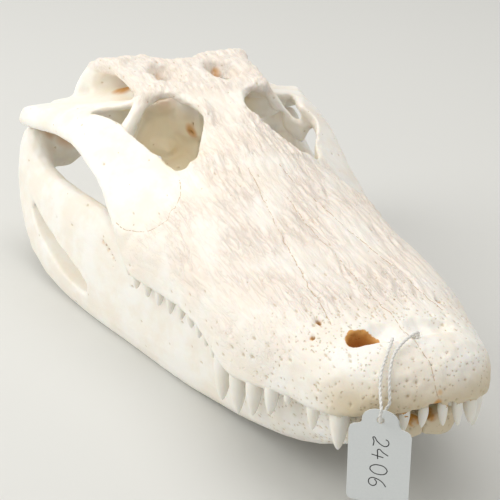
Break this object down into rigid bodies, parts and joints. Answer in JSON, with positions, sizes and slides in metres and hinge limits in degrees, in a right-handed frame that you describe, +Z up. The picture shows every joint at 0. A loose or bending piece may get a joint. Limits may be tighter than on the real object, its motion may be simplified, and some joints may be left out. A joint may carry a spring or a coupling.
{
  "type": "alligator skull",
  "caption": "Bleached skull with a broad pitted snout, closed lower jaw, conical teeth and a paper tag on a string.",
  "frame": {"origin": "on the floor under the middle of the skull's box, measured without the tag and its string", "axes": "+Z up, the snout points to -Y, and +X is the skull's own left side"},
  "size_m": [0.235, 0.4816, 0.1525],
  "materials": {
    "bone": "satin",
    "card": "matte",
    "string": "matte"
  },
  "bodies": {
    "root": {"snout": "bone", "skull_roof": "bone", "cheekbone_right": "bone", "cheekbone_left": "bone", "quadrate_right": "bone", "quadrate_left": "bone", "braincase": "bone", "palate": "bone", "jaw_right": "bone", "jaw_left": "bone", "tag_card": "card", "tag_string": "string"}
  },
  "joints": []
}
